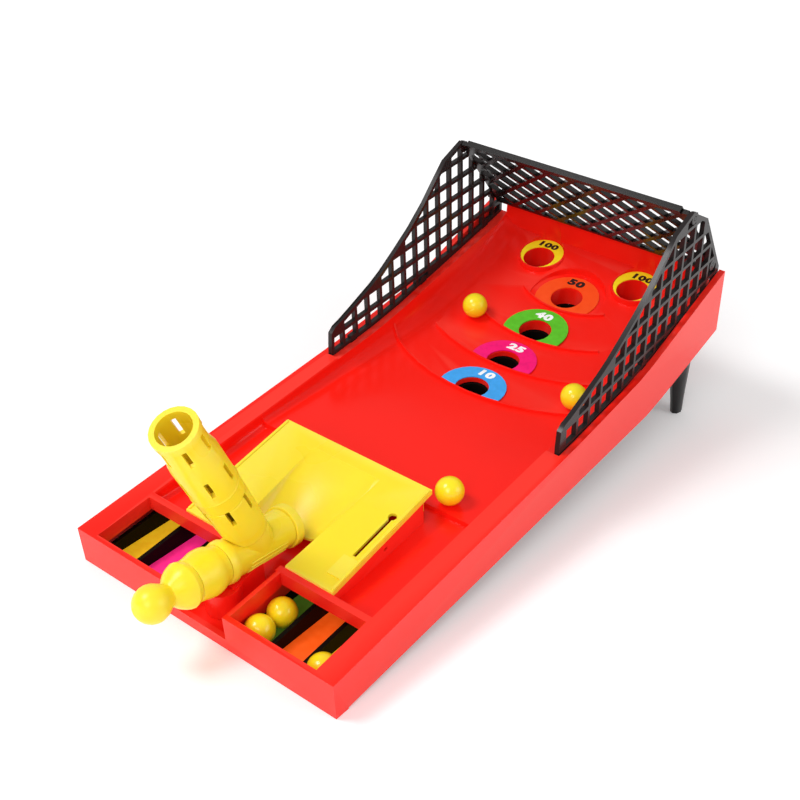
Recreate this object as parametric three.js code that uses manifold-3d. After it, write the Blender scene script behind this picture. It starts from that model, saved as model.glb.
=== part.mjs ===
// A table-top ball-shooting game: a red moulded tray leaning on two rear legs, a black lower tray that
// brings the balls back in six lanes, score holes with coloured rings, three black nets, a yellow ramp
// plate, and a yellow spring launcher with a magazine tube. Lengths are millimetres, angles degrees.
// The tray is drawn level (x across, y back from the front face, z up from the front rim) and the
// whole tray is then tilted up at the rear.
import * as THREE from 'three';
import { mergeVertices } from 'three/addons/utils/BufferGeometryUtils.js';
import Module from 'manifold-3d';

const wasm = await Module();
wasm.setup();

// Tray: overall sizes, wall thicknesses and side outline
const TRAY_WIDTH = 180;
const TRAY_LENGTH = 391.5;
const FRONT_HEIGHT = 23.6;
const REAR_RISE = 26.8;
const RIM_WIDTH = 12.5;
const OUTER_WALL = 2.4;
const FRONT_WALL = 3;
const SKIN = 1.5;
const FOOT_DEPTH = 9;
const CLEAR = 0.3;
const OVERRUN = 60;
const RIM_TOP_SHARES = [[0, 0], [0.55, 0], [0.61, 0.04], [0.728, 0.105], [0.766, 0.187], [1, 1]];
const BOTTOM_EDGE_SHARES = [[0, -1], [0.766, -1.39], [0.81, -1.31], [1, -0.788]];
const HOLLOW_TOP_SHARES = [[0, -0.09], [0.5, -0.09], [0.53, -0.15], [0.62, -0.12], [0.69, -0.05],
  [0.927, 0.39], [1, 0.54]];

// Play field: floor profile behind the step and the coved side walls
const FLOOR_DEPTH = 9;
const FLOOR_RISE = 1.8;
const FIELD_DEPTH = 12.4;
const FIELD_TOP_SHARE = 0.3344;
const STEP_RUN = 0.5;
const COVE_RADIUS = 16;
const WELL_BACK = 44;
const FLOOR_LEVEL_AT = 60;
const FIELD_SHARES = [[0.429, -0.726], [0.511, -0.871], [0.5926, -0.976], [0.6794, -1], [0.7612, -0.903],
  [0.848, -0.532], [0.899, -0.194], [0.949, 0.29], [0.9885, 0.84], [0.991, 1.8]];
const FIELD_STEP_SHARE = -0.508;
const COVE_SHARES = [0.31, 0.44, 0.62, 0.81, 0.94, 1, 1, 0.94, 0.9, 0.75];
const COVE_FRONT_SHARE = 0.27;

// Score holes down the middle, each behind an arc lip, and two corner holes
const HOLE_RADIUS = 10.5;
const RING_GAP = 2;
const CORNER_RING_RADIUS = 14.8;
const RING_THICKNESS = 0.5;
const COLLAR_WALL = 1.5;
const COLLAR_BOTTOM = 15.2;
const LIP_WIDTH = 1.2;
const LIP_HEIGHT = 1.8;
const RECESS_MARGIN = 4.4;
const CORNER_RECESS_MARGIN = 0.4;
const RECESS_SLOPE = 0.14;
const CORNER_RECESS_SLOPE = 0.17;
const CORNER_HOLE_X = 36.8;
const CORNER_HOLE_BACK = 21.8;
const CORNER_RING_BACK = 17.7;
const CORNER_RECESS_RISE = 4.5;
const CORNER_LIP_HEIGHT = 1.3;
const CORNER_SEAT_DEPTH = 2.5;
// name, hole centre as a share of the tray length, how far the lip's front is ahead of it as a share of
// the hole radius, and the lip's radius and half length as shares of the tray length
const TERRACE_SHARES = [
  ['10', 0.6066, 0.645, 0.3277, 0.194],
  ['25', 0.6943, 0.649, 0.32, 0.153],
  ['40', 0.7893, 0.992, 0.2388, 0.118],
  ['50', 0.8876, 1.417, 0.1397, 0.08],
];

// Two front wells and the launcher channel between them
const CHANNEL_HALF = 18;
const WELL_INNER_X = 20.5;
const WELL_SIDE = 13;
const WELL_LENGTH = 37;
const INNER_SKIRT = 9.9;
const OUTER_SKIRT = 8.8;
const OUTER_SKIRT_WALL = 2.2;
const CHANNEL_DEPTH = 18;
const CHANNEL_LIP_DEPTH = 16;
const CHANNEL_FLOOR = 2;
const PIT_HALF = 17;
const PIT_WALL = 1.9;
const PIT_END = 80;

// Lower tray: six lanes from the holes to the wells
const BALL_RADIUS = 8.2;
const LANE_SIDE = 10.6;
const LANE_WALL = 2.4;
const LANE_INNER_X = 18.8;
const LANE_FLOOR_FRONT = 22.45;
const LANE_FLOOR_DEEP = 32.4;
const LANE_SLOPE_END = 87;
const LANE_WALL_TOP = 16;
const TRAY_FLOOR = 1.2;
const TRAY_CORE_SIDE = 24;
const TRAY_CORE_START = 62;
const TRAY_CORE_BACK = 11.5;
const STRIP_THICKNESS = 0.5;
const STRIP_END = 54;
const BEND_FRONT = 60;
// the bends of each lane behind its hole, as shares of the tray length
const LANE_BEND_SHARES = { 10: 0.511, 25: 0.575, 40: 0.7255, 50: 0.7663, 'left 100': 0.856,
  'right 100': 0.868 };

// Side nets and back net
const NET_THICKNESS = 3;
const NET_SIDE = 6;
const NET_BAR = 2.3;
const BACK_NET_BAR = 3;
const NET_BORDER = 2.6;
const NET_DROP = 0.94;
const NET_STEP_Y = 12.8;
const NET_STEP_Z = 13.1;
const NET_FIRST_Y = 1.4;
const NET_FIRST_Z = 1.2;
const RIGHT_NET_SHIFT = 6.4;
const LEDGE_SIDE = 4;
const LEDGE_SHARES = [[0.513, -0.056], [0.62, -0.037], [0.69, 0.037], [0.927, 0.478], [1, 0.634]];
// outline above the ledge: y as a share of the tray length, z as a share of the net top
const NET_SHARES = [[0.998, 0.33], [0.929, 0.854], [0.876, 1], [0.826, 0.93], [0.8, 0.83], [0.767, 0.7],
  [0.728, 0.575], [0.685, 0.465], [0.6485, 0.378], [0.622, 0.329], [0.569, 0.252], [0.543, 0.217],
  [0.528, 0.203], [0.5175, 0.17], [0.5147, 0.05]];
const TAB_SHARES = [0.57, 0.76, 0.945];
const TAB_LENGTH = 6;
const TAB_DEPTH = 4;
const BACK_NET_INSET = 3.5;
const BACK_NET_Z = 25;
const BACK_NET_HEIGHT = 81;
const BACK_NET_LEAN = 35.5;
const BACK_NET_START = 3.6;
const BACK_NET_STEP = 13.2;
const BACK_NET_FIRST = 8.2;
const RAIL_SIZE = 4;
const RAIL_SIDE = 12.4;
const PEG_RADIUS = 1.4;
const PEG_BOSS = 4;
const PEG_SHARES = [0.16, 0.913];
const MIN_WINDOW_SHARE = 0.22;

// Legs
const LEG_SIDE = 8;
const LEG_BACK = 33;
const LEG_LEAN = 3.4;
const LEG_TIP_DROP = 71.4;
const LEG_TOP_LENGTH = 24;
const LEG_TOP_WIDTH = 11;
const LEG_TIP_LENGTH = 11;
const LEG_TIP_WIDTH = 7;
const TENON_LENGTH = 18;
const TENON_TOP = 2;

// Ramp plate
const PLATE_SIDE = 38;
const PLATE_GAP = 3.6;
const PLATE_FRONT_RISE = 1.5;
const PLATE_REAR_RISE = 9.8;
const PLATE_THICKNESS = 1.8;
const FLANGE_DEPTH = 3;
const REAR_FLANGE_INSET = 6;
const SCOOP_DEPTH = 12.6;
const SCOOP_HALF = 20.3;
const SCOOP_SPREAD = 3.6;
const SCOOP_WALL = 1.5;
const SCOOP_BACK = 9.3;
// depth of the scoop along it, both as shares
const SCOOP_SHARES = [[0, 1], [0.38, 1], [0.5, 0.82], [0.63, 0.56], [0.76, 0.32], [0.89, 0.12], [1, 0.01]];
const NOSE_GAP_FRONT = 14.4;
const NOSE_GAP_REAR = 18.4;
const NOSE_GAP_END = 72;
const SLOT_INSET = 6;
const SLOT_START = 68.5;
const SLOT_LENGTH = 32;
const SLOT_WIDTH = 2.2;
const SLOT_HEAD = 2.6;
const PAD_LENGTH = 14;
const PAD_WIDTH = 9.5;
const PAD_RISE = 0.8;
const RIB_INSET = 2.6;
const RIB_WIDTH = 2;
const RIB_BACK = 7.3;
const NOTCH_START = 85.7;
const NOTCH_LENGTH = 3;
const NOTCH_DEPTH = 1.8;
const NOTCH_HEIGHT = 2;

// Launcher: axis in the tray, barrel, end cap, magazine and plunger
const AXIS_Y = 25;
const AXIS_Z = 9.86;
const AXIS_PITCH = 11.75;
const PIVOT_Y = 18;
const BORE_RADIUS = 8.7;
const BARREL_RADIUS = 10.8;
const BARREL_LENGTH = 52;
const NOSE_AT = 44;
const NECK_RADIUS = 9.8;
const NECK_LENGTH = 4;
const NOSE_SEAT = 9.9;
const NOSE_RING_RADIUS = 12.2;
const NOSE_RING_LENGTH = 5;
const CAP_RADIUS = 13;
const CAP_LENGTH = 20;
const CAP_WALL = 1.3;
const ROD_RADIUS = 3;
const ROD_LENGTH = 38.6;
const KNOB_RADIUS = 9.9;
const BELL_RADIUS = 12.6;
const HANDLE_LENGTH = 33.2;
const PISTON_LENGTH = 26;
const PISTON_GAP = 0.4;
const SOCKET_DEPTH = 10.6;
const SPRING_RADIUS = 6;
const SPRING_WIRE = 0.6;
const SPRING_TURNS = 6;
const MAGAZINE_AT = 19.8;
const MAGAZINE_LEAN = 32.7;
const BRANCH_FOOT_RADIUS = 10.4;
const BRANCH_FOOT_HEIGHT = 5;
const BRANCH_RADIUS = 11.4;
const BRANCH_LENGTH = 16;
const MAGAZINE_RADIUS = 12.9;
const MAGAZINE_TOP = 108.6;
const MAGAZINE_BORE = 9.4;
const VENT_LENGTH = 12;
const VENT_WIDTH = 2.4;
const VENT_COLUMNS = 6;
const VENT_TURN = 25.7;
const VENT_SHARES = [0.41, 0.664, 0.902];
// station and radius along each turned piece, as shares of its length and its radius
const BARREL_SHARES = [[0.0769, 1.05], [0.118, 1.11], [0.165, 1.11], [0.205, 1]];
const CAP_SHARES = [[0, 0.88], [0.2, 0.91], [0.4, 0.98], [0.52, 1], [0.64, 1], [0.77, 0.955],
  [0.85, 0.885], [1, 0.87]];
const BELL_SHARES = [[0.59, 0.48], [0.675, 0.645], [0.738, 0.8], [0.816, 0.915], [0.9, 1],
  [1, 0.92]];
const MAGAZINE_SHARES = [[0.067, 0.884], [0.075, 0.93], [0.35, 0.984], [0.365, 0.946], [0.38, 0.992],
  [0.46, 1], [0.475, 1.03], [0.49, 1], [0.75, 1.01], [0.825, 0.907], [0.94, 0.907], [0.955, 0.961],
  [1, 0.961]];

// Cradle and its fasteners
const TURRET_RADIUS = 10.5;
const TURRET_TOP = 1.5;
const CRADLE_HALF = 8.5;
const CRADLE_END = 40;
const STUB_RADIUS = 3;
const WASHER_RADIUS = 6;
const WASHER_THICKNESS = 1;
const SCREW_RADIUS = 1.3;
const SCREW_HEAD = 2.6;
const SCREW_HEAD_HEIGHT = 1.3;
const PIVOT_SCREW_LENGTH = 12;
const CRADLE_SCREW_Y = 33;
const TRAY_SCREW_LENGTH = 9;
const BOSS_RADIUS = 3.4;
const BOSS_SPOT_SHARES = [[0, 0.2554], [0, 0.46], [-0.533, 0.67], [-0.333, 0.843], [0.511, 0.843]];

// Loose balls: places on the field, and in the lanes
// across as a share of the field's half width; one lies at a share of the tray length, one rests a gap
// behind the lip of 10, and one rests a gap ahead of the lip of 40
const FIELD_BALL_SHARES = [0.7045, 0.3566];
const NET_BALL_SHARE = 0.7935;
const NET_BALL_GAP = 10.6;
const MIDDLE_BALL_SHARE = -0.5587;
const MIDDLE_BALL_GAP = 7;

// Facets of round pieces
const ROUND = 22;
const FINE = 28;
const SMALL = 8;

const half = TRAY_WIDTH / 2;
const basinHalf = half - RIM_WIDTH;
const fieldTop = FIELD_TOP_SHARE * TRAY_LENGTH;
const plateHalf = half - PLATE_SIDE;
const plateEnd = fieldTop - PLATE_GAP;
const slotX = plateHalf - SLOT_INSET;
const wellOuterX = half - WELL_SIDE;
const laneWidth = (half - LANE_SIDE - LANE_INNER_X - LANE_WALL * 2) / 3;
const netX = half - NET_SIDE;
const netLean = THREE.MathUtils.degToRad(BACK_NET_LEAN);
const netTop = BACK_NET_Z + BACK_NET_HEIGHT * Math.cos(netLean) - NET_DROP;
const legX = half - LEG_SIDE;
const legTopY = TRAY_LENGTH - LEG_BACK;
const legTipY = legTopY + LEG_LEAN;
const tilt = Math.atan((LEG_TIP_DROP - FRONT_HEIGHT) / legTipY);
const groundAt = (y) => -FRONT_HEIGHT - y * Math.tan(tilt);
const plateSlope = (PLATE_REAR_RISE - PLATE_FRONT_RISE) / (plateEnd - WELL_BACK);
const plateTop = (y) => PLATE_FRONT_RISE + (y - WELL_BACK) * plateSlope;

// Straight-line value of a profile of [place, height] pairs
function along(profile, place) {
  const next = Math.max(1, profile.findIndex(([at]) => at >= place));
  const index = place > profile[profile.length - 1][0] ? profile.length - 1 : next;
  const [a, b] = [profile[index - 1], profile[index]];
  return a[1] + (b[1] - a[1]) * (place - a[0]) / (b[0] - a[0]);
}

const sized = (shares, length, height) => shares.map(([a, b]) => [a * length, b * height]);
const rimTop = sized(RIM_TOP_SHARES, TRAY_LENGTH, REAR_RISE);
const bottomEdge = sized(BOTTOM_EDGE_SHARES, TRAY_LENGTH, FRONT_HEIGHT);
const ledge = sized(LEDGE_SHARES, TRAY_LENGTH, REAR_RISE);
const field = [[fieldTop, FIELD_STEP_SHARE * FIELD_DEPTH], ...sized(FIELD_SHARES, TRAY_LENGTH, FIELD_DEPTH)];
const laneFloor = [[0, -LANE_FLOOR_FRONT], [LANE_SLOPE_END, -LANE_FLOOR_DEEP],
  [TRAY_LENGTH, -LANE_FLOOR_DEEP]];

// A closed solid from a three.js geometry, turned right side out
function solid(geometry) {
  const bare = geometry.index ? geometry.toNonIndexed() : geometry.clone();
  bare.deleteAttribute('normal');
  bare.deleteAttribute('uv');
  const merged = mergeVertices(bare);
  const vertProperties = new Float32Array(merged.attributes.position.array);
  const triVerts = new Uint32Array(merged.index.array);
  const made = new wasm.Manifold(new wasm.Mesh({ numProp: 3, vertProperties, triVerts }));
  return made.volume() > 0 ? made : new wasm.Manifold(new wasm.Mesh({
    numProp: 3, vertProperties, triVerts: triVerts.reverse() }));
}

const shapeOf = (points) => new THREE.Shape(points.map(([a, b]) => new THREE.Vector2(a, b)));

// A slab whose outline lies in plan (x, y), between two heights
function plan(points, low, high) {
  const shape = shapeOf(points);
  const geometry = new THREE.ExtrudeGeometry(shape, { depth: high - low, bevelEnabled: false });
  return solid(geometry.translate(0, 0, low));
}

// A bar whose outline lies in side view (y, z), between two places across
function bar(points, left, right) {
  const geometry = new THREE.ExtrudeGeometry(shapeOf(points), { depth: right - left, bevelEnabled: false });
  const toSide = new THREE.Matrix4().set(0, 0, 1, left, 1, 0, 0, 0, 0, 1, 0, 0, 0, 0, 0, 1);
  return solid(geometry.applyMatrix4(toSide));
}

function block(left, right, front, back, low, high) {
  const geometry = new THREE.BoxGeometry(right - left, back - front, high - low);
  return solid(geometry.translate((left + right) / 2, (front + back) / 2, (low + high) / 2));
}

// An upright cylinder, standing between two heights
function post(x, y, radius, low, high, sides = ROUND) {
  const geometry = new THREE.CylinderGeometry(radius, radius, high - low, sides).rotateX(Math.PI / 2);
  return solid(geometry.translate(x, y, (low + high) / 2));
}

// A turned piece about its own y axis; the profile of [station, radius] runs from low to high station
function turned(profile, sides = ROUND) {
  const points = profile.map(([station, radius]) => new THREE.Vector2(radius, station));
  return new THREE.LatheGeometry([new THREE.Vector2(0, profile[0][0]), ...points,
    new THREE.Vector2(0, profile[profile.length - 1][0])], sides);
}

// A body through closed rings of points, all with the same count
function loft(rings) {
  const count = rings[0].length;
  const positions = [];
  const push = (...points) => points.forEach((p) => positions.push(...p));
  for (let i = 0; i + 1 < rings.length; i += 1) {
    for (let j = 0; j < count; j += 1) {
      const k = (j + 1) % count;
      push(rings[i][j], rings[i][k], rings[i + 1][k]);
      push(rings[i][j], rings[i + 1][k], rings[i + 1][j]);
    }
  }
  const last = rings[rings.length - 1];
  for (let j = 1; j + 1 < count; j += 1) {
    push(rings[0][0], rings[0][j + 1], rings[0][j]);
    push(last[0], last[j], last[j + 1]);
  }
  const geometry = new THREE.BufferGeometry();
  geometry.setAttribute('position', new THREE.Float32BufferAttribute(positions, 3));
  return geometry;
}

const joined = (solids) => solids.reduce((all, next) => all.add(next));

// Launcher frame: its own y runs along the barrel towards the nose, its z up
const axisPitch = THREE.MathUtils.degToRad(AXIS_PITCH);
const launcherFrame = new THREE.Matrix4().makeRotationX(-axisPitch);
launcherFrame.setPosition(0, AXIS_Y, AXIS_Z);
const magazineFrame = launcherFrame.clone();
magazineFrame.multiply(new THREE.Matrix4().makeTranslation(0, MAGAZINE_AT, 0));
magazineFrame.multiply(new THREE.Matrix4().makeRotationX(
  THREE.MathUtils.degToRad(90 + MAGAZINE_LEAN)));
const onLauncher = (geometry) => solid(geometry.applyMatrix4(launcherFrame));
const onMagazine = (geometry) => solid(geometry.applyMatrix4(magazineFrame));

// Field surface: ring of points at one place along the tray, the open box above a coved floor
function basinRing(y, z, cove, grow) {
  const side = basinHalf + grow;
  const radius = cove + grow;
  const floor = z - grow;
  const top = REAR_RISE + OVERRUN;
  const ring = [[side, y, top], [-side, y, top]];
  const steps = 3;
  for (let i = 0; i <= steps; i += 1) {
    const turn = i / steps * Math.PI / 2;
    ring.push([-side + radius - radius * Math.cos(turn), y, floor + radius - radius * Math.sin(turn)]);
  }
  for (let i = steps; i >= 0; i -= 1) {
    const turn = i / steps * Math.PI / 2;
    ring.push([side - radius + radius * Math.cos(turn), y, floor + radius - radius * Math.sin(turn)]);
  }
  return ring;
}

function basin(grow, lift = 0) {
  const cove = COVE_FRONT_SHARE * COVE_RADIUS;
  const rings = [
    basinRing(WELL_BACK - grow, lift - FLOOR_DEPTH + FLOOR_RISE, cove, grow),
    basinRing(FLOOR_LEVEL_AT, lift - FLOOR_DEPTH, cove, grow),
    basinRing(fieldTop - STEP_RUN + grow, lift - FLOOR_DEPTH, cove, grow),
  ];
  field.forEach(([y, z], i) => {
    const shifted = i === 0 || i >= field.length - 2 ? y + grow : y;
    const share = i === 0 ? COVE_FRONT_SHARE : COVE_SHARES[i - 1];
    rings.push(basinRing(shifted, lift + z, share * COVE_RADIUS, grow));
  });
  return solid(loft(rings));
}

// Score places: centre, lip circle, seat plane and ring radius
const terraces = TERRACE_SHARES.map(([name, hole, lip, radius, reach]) => ({
  name,
  x: 0,
  y: hole * TRAY_LENGTH,
  ringY: hole * TRAY_LENGTH,
  lipY: hole * TRAY_LENGTH - lip * HOLE_RADIUS,
  lipRadius: radius * TRAY_LENGTH,
  reach: reach * TRAY_LENGTH,
}));
const [ten, twentyFive, forty, fifty] = terraces;
terraces.forEach((place) => {
  place.ring = fifty.lipY - forty.y - RING_GAP;
});
const corners = [['left', -1], ['right', 1]].map(([side, sign]) => ({
  name: `${side} 100`,
  x: sign * CORNER_HOLE_X,
  y: TRAY_LENGTH - CORNER_HOLE_BACK,
  ringY: TRAY_LENGTH - CORNER_RING_BACK,
  ring: CORNER_RING_RADIUS,
  corner: true,
}));

// Height of the seat under a ring at one place along the tray
function seatAt(place, y) {
  if (place.corner) {
    return CORNER_RECESS_RISE + (y - place.ringY) * CORNER_RECESS_SLOPE;
  }
  if (place === fifty) {
    const lip = place.lipY;
    return along(field, lip) + (y - lip) * RECESS_SLOPE;
  }
  return along(field, y);
}

const insideLip = (place, inset, low, high) => post(
  0, place.lipY + place.lipRadius, place.lipRadius - inset, low, high, FINE * 2);

// The sunk seat of the upper holes: a disc cut down to its plane
function recess(place, grow) {
  const margin = place.corner ? CORNER_RECESS_MARGIN : RECESS_MARGIN;
  const radius = place.ring + margin + grow;
  const disc = post(place.x, place.ringY, radius, -OVERRUN, REAR_RISE, FINE);
  const front = place.ringY - radius - grow;
  const back = place.ringY + radius + grow;
  const above = bar([[front, seatAt(place, front) - grow], [back, seatAt(place, back) - grow],
    [back, REAR_RISE], [front, REAR_RISE]], -half, half);
  const cut = disc.intersect(above);
  return place.corner ? cut : cut.intersect(insideLip(place, LIP_WIDTH - grow, -OVERRUN, REAR_RISE));
}

const sunk = [fifty, ...corners];

// The raised seat of a corner ring: a low round step with a lip, which runs into the slope behind it
function cornerSeat(place) {
  const radius = place.ring + CORNER_RECESS_MARGIN + LIP_WIDTH;
  const [front, back] = [place.ringY - radius, place.ringY + radius];
  const level = (y, rise) => [y, seatAt(place, y) + rise];
  const slab = bar([level(front, -CORNER_SEAT_DEPTH), level(back, -CORNER_SEAT_DEPTH),
    level(back, CORNER_LIP_HEIGHT), level(front, CORNER_LIP_HEIGHT)], -half, half);
  return post(place.x, place.ringY, radius, -OVERRUN, OVERRUN, FINE).intersect(slab);
}

// The hole through the deck, cut off in front by the lip
function holeCutter(place, grow, low) {
  const tube = post(place.x, place.y, HOLE_RADIUS + grow, low, REAR_RISE, ROUND);
  return place.corner ? tube : tube.intersect(insideLip(place, LIP_WIDTH - grow, low, REAR_RISE));
}

const screwSpots = BOSS_SPOT_SHARES.map(([x, y]) => [x * half, y * TRAY_LENGTH]);
const tabs = TAB_SHARES.map((share) => share * TRAY_LENGTH);
const tenonX = [basinHalf + SKIN + CLEAR, half - OUTER_WALL - CLEAR];
const tenonY = [legTopY - TENON_LENGTH / 2, legTopY + TENON_LENGTH / 2];

// Deck: outer block, field, ledges for the nets, wells, channel, lips, holes and screw bosses
function deckShell() {
  const footLow = groundAt(FOOT_DEPTH);
  const under = bottomEdge.slice(1).map(([y, z]) => [y, z]);
  const outline = [[0, -FRONT_HEIGHT], [FOOT_DEPTH, footLow], [FOOT_DEPTH, along(bottomEdge, FOOT_DEPTH)],
    ...under, ...[...rimTop].reverse()];
  const hollowTop = sized(HOLLOW_TOP_SHARES, TRAY_LENGTH, FRONT_HEIGHT);
  const inner = [[FRONT_WALL, -OVERRUN], [TRAY_LENGTH - OUTER_WALL, -OVERRUN],
    [TRAY_LENGTH - OUTER_WALL, along(hollowTop, TRAY_LENGTH)],
    ...hollowTop.slice(1, -1).reverse(), [FRONT_WALL, hollowTop[0][1]]];
  let hollow = bar(inner, -half + OUTER_WALL, half - OUTER_WALL).subtract(basin(SKIN));
  sunk.forEach((place) => {
    hollow = hollow.subtract(recess(place, SKIN));
  });
  let deck = bar(outline, -half, half).subtract(hollow);
  [...terraces, ...corners].forEach((place) => {
    deck = deck.add(holeCutter(place, COLLAR_WALL, -COLLAR_BOTTOM));
  });
  screwSpots.forEach(([x, y]) => {
    deck = deck.add(post(x, y, BOSS_RADIUS, along(laneFloor, y) + CLEAR, 0, SMALL));
  });
  const pitLow = -CHANNEL_DEPTH - CHANNEL_FLOOR;
  deck = deck.add(block(-PIT_HALF - PIT_WALL, PIT_HALF + PIT_WALL, FRONT_WALL / 2, PIT_END + PIT_WALL,
    pitLow, -FLOOR_DEPTH - SKIN / 2));
  deck = deck.subtract(basin(0));

  const raised = block(-half + OUTER_WALL, half - OUTER_WALL, FRONT_WALL, TRAY_LENGTH - OUTER_WALL,
    -FLOOR_DEPTH - SKIN * 3, REAR_RISE).subtract(basin(0, LIP_HEIGHT));
  terraces.forEach((place) => {
    const end = place.lipY + place.reach * place.reach / place.lipRadius;
    const ridge = insideLip(place, 0, -OVERRUN, OVERRUN)
      .subtract(insideLip(place, LIP_WIDTH, -OVERRUN, OVERRUN))
      .intersect(block(-place.reach, place.reach, 0, end, -OVERRUN, OVERRUN));
    deck = deck.add(ridge.intersect(raised));
  });
  corners.forEach((place) => {
    deck = deck.add(cornerSeat(place));
  });
  sunk.forEach((place) => {
    deck = deck.subtract(recess(place, 0));
  });
  [...terraces, ...corners].forEach((place) => {
    deck = deck.subtract(holeCutter(place, 0, -OVERRUN));
  });
  screwSpots.forEach(([x, y]) => {
    const tip = along(laneFloor, y) + CLEAR + TRAY_SCREW_LENGTH;
    deck = deck.subtract(post(x, y, SCREW_RADIUS + CLEAR, -OVERRUN, tip, SMALL));
  });

  const wellBack = FRONT_WALL + WELL_LENGTH;
  for (const sign of [-1, 1]) {
    const across = (from, to) => (sign < 0 ? [-to, -from] : [from, to]);
    deck = deck.add(block(...across(CHANNEL_HALF, WELL_INNER_X), FRONT_WALL / 2, WELL_BACK, -INNER_SKIRT, 0));
    deck = deck.add(block(...across(wellOuterX, wellOuterX + OUTER_SKIRT_WALL), FRONT_WALL / 2,
      WELL_BACK, -OUTER_SKIRT, 0));
    deck = deck.add(block(...across(PIT_HALF, wellOuterX + OUTER_SKIRT_WALL), wellBack, WELL_BACK,
      -OUTER_SKIRT, 0));
    deck = deck.subtract(block(...across(WELL_INNER_X, wellOuterX), FRONT_WALL, wellBack,
      -OVERRUN, OVERRUN));
    const ribX = across(plateHalf - RIB_INSET, plateHalf - RIB_INSET + RIB_WIDTH);
    const [ribStart, ribEnd] = [WELL_BACK - SKIN, plateEnd - RIB_BACK];
    const ribTop = (y) => plateTop(y) - FLANGE_DEPTH - CLEAR;
    const rib = bar([[ribStart, -FLOOR_DEPTH - SKIN / 2], [ribEnd, -FLOOR_DEPTH - SKIN / 2],
      [ribEnd, ribTop(ribEnd)], [ribStart, ribTop(ribStart)]], ...ribX);
    deck = deck.add(rib.subtract(block(...ribX, NOTCH_START, NOTCH_START + NOTCH_LENGTH,
      -NOTCH_DEPTH - NOTCH_HEIGHT, -NOTCH_DEPTH)));
  }
  deck = deck.subtract(block(-PIT_HALF, PIT_HALF, FRONT_WALL, PIT_END, -CHANNEL_DEPTH, OVERRUN));
  deck = deck.subtract(block(-CHANNEL_HALF, CHANNEL_HALF, FRONT_WALL, wellBack, -INNER_SKIRT, OVERRUN));
  deck = deck.subtract(block(-CHANNEL_HALF, CHANNEL_HALF, -FRONT_WALL, FRONT_WALL * 2, -CHANNEL_LIP_DEPTH,
    OVERRUN));
  deck = deck.subtract(post(0, PIVOT_Y, STUB_RADIUS + CLEAR, -OVERRUN, 0, ROUND));

  const shelf = [...ledge.map(([y, z]) => [y, z]), [TRAY_LENGTH + OVERRUN, along(ledge, TRAY_LENGTH)],
    [TRAY_LENGTH + OVERRUN, OVERRUN], [ledge[0][0], OVERRUN]];
  for (const sign of [-1, 1]) {
    const across = (from, to) => (sign < 0 ? [-to, -from] : [from, to]);
    const [low, high] = across(basinHalf - SKIN, half - LEDGE_SIDE);
    deck = deck.subtract(bar(shelf, low, high));
    for (const y of tabs) {
      const pocket = across(netX - NET_THICKNESS / 2 - CLEAR, netX + NET_THICKNESS / 2 + CLEAR);
      deck = deck.subtract(block(...pocket, y - TAB_LENGTH / 2 - CLEAR, y + TAB_LENGTH / 2 + CLEAR,
        -OVERRUN / 2, OVERRUN));
    }
  }
  return deck;
}

// Lower tray: the lane routes, from the wells back to the holes
const innerLane = LANE_INNER_X + laneWidth / 2;
const middleLane = innerLane + laneWidth + LANE_WALL;
const outerLane = middleLane + laneWidth + LANE_WALL;
const [leftCorner, rightCorner] = corners;
const bendAt = (name) => LANE_BEND_SHARES[name] * TRAY_LENGTH;
const route = (place, x) => {
  const bendX = x - Math.sign(x) * (laneWidth + LANE_WALL) / 4;
  return [[place.x, place.y], [bendX, bendAt(place.name)], [x, BEND_FRONT], [x, 0]];
};
const routes = [
  ['yellow_left', route(leftCorner, -outerLane)],
  ['pink', route(twentyFive, -middleLane)],
  ['blue', route(ten, -innerLane)],
  ['green', route(forty, innerLane)],
  ['orange', route(fifty, middleLane)],
  ['yellow_right', route(rightCorner, outerLane)],
];

function corridor(points, reach, front) {
  const parts = [];
  for (let i = 0; i + 1 < points.length; i += 1) {
    const [from, to] = [points[i], points[i + 1]];
    const run = Math.hypot(to[0] - from[0], to[1] - from[1]);
    const geometry = new THREE.BoxGeometry(reach * 2, run, OVERRUN);
    geometry.rotateZ(Math.atan2(to[1] - from[1], to[0] - from[0]) - Math.PI / 2);
    geometry.translate((from[0] + to[0]) / 2, (from[1] + to[1]) / 2, -OVERRUN / 2);
    parts.push(solid(geometry), post(...from, reach, -OVERRUN, 0, ROUND));
  }
  return joined(parts).intersect(block(-half, half, front, TRAY_LENGTH, -OVERRUN, 0));
}

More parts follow.
